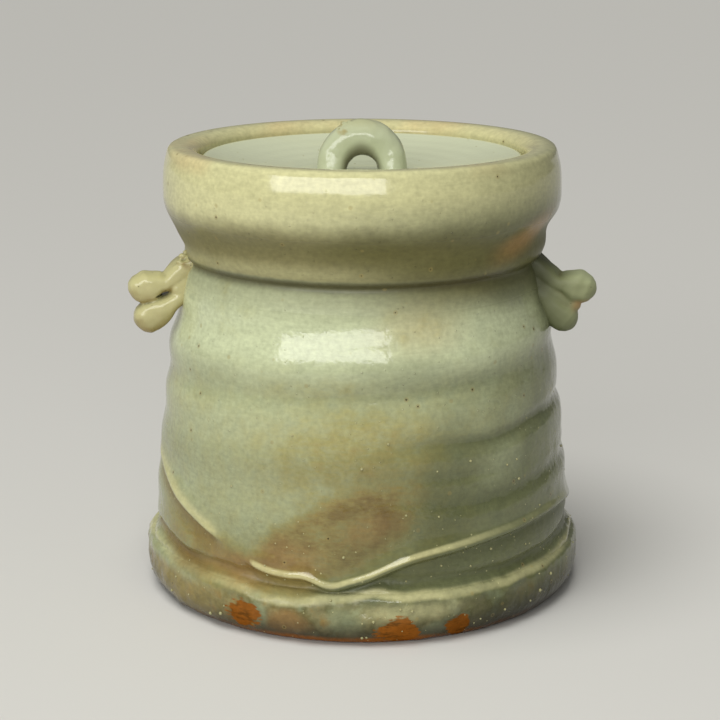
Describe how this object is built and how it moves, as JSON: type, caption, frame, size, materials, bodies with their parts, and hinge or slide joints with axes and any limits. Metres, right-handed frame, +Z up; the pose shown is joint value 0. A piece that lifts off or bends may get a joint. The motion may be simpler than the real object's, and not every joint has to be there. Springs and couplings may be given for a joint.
{
  "type": "mizusashi water jar",
  "caption": "Thick glazed stoneware water jar with a rolled collar, folded side ears, a flange at the foot and a dished set-in lid with a loop knob that lifts off.",
  "frame": {"origin": "on the table, on the jar's axis, in the plane of the foot ring", "axes": "+Z up along the jar's axis, +X through the right ear as seen from the front, +Y away from the viewer"},
  "size_m": [0.187, 0.1796, 0.1895],
  "materials": {
    "jar_glaze": "thick glossy ash glaze, cream on the collar, grey-green on the wall, bare orange clay in spots at the foot",
    "ear_glaze": "thin glossy glaze over tan clay",
    "lid_glaze": "glossy pale grey-green glaze"
  },
  "bodies": {
    "jar": {"jar_body": "jar_glaze", "left_ear": "ear_glaze", "right_ear": "ear_glaze"},
    "lid": {"lid_plate": "lid_glaze", "lid_knob": "lid_glaze"}
  },
  "joints": [
    {"name": "lid_lift", "type": "slide", "parent": "jar", "child": "lid", "axis": [0, 0, 1], "range_m": [0, 0.1]}
  ]
}
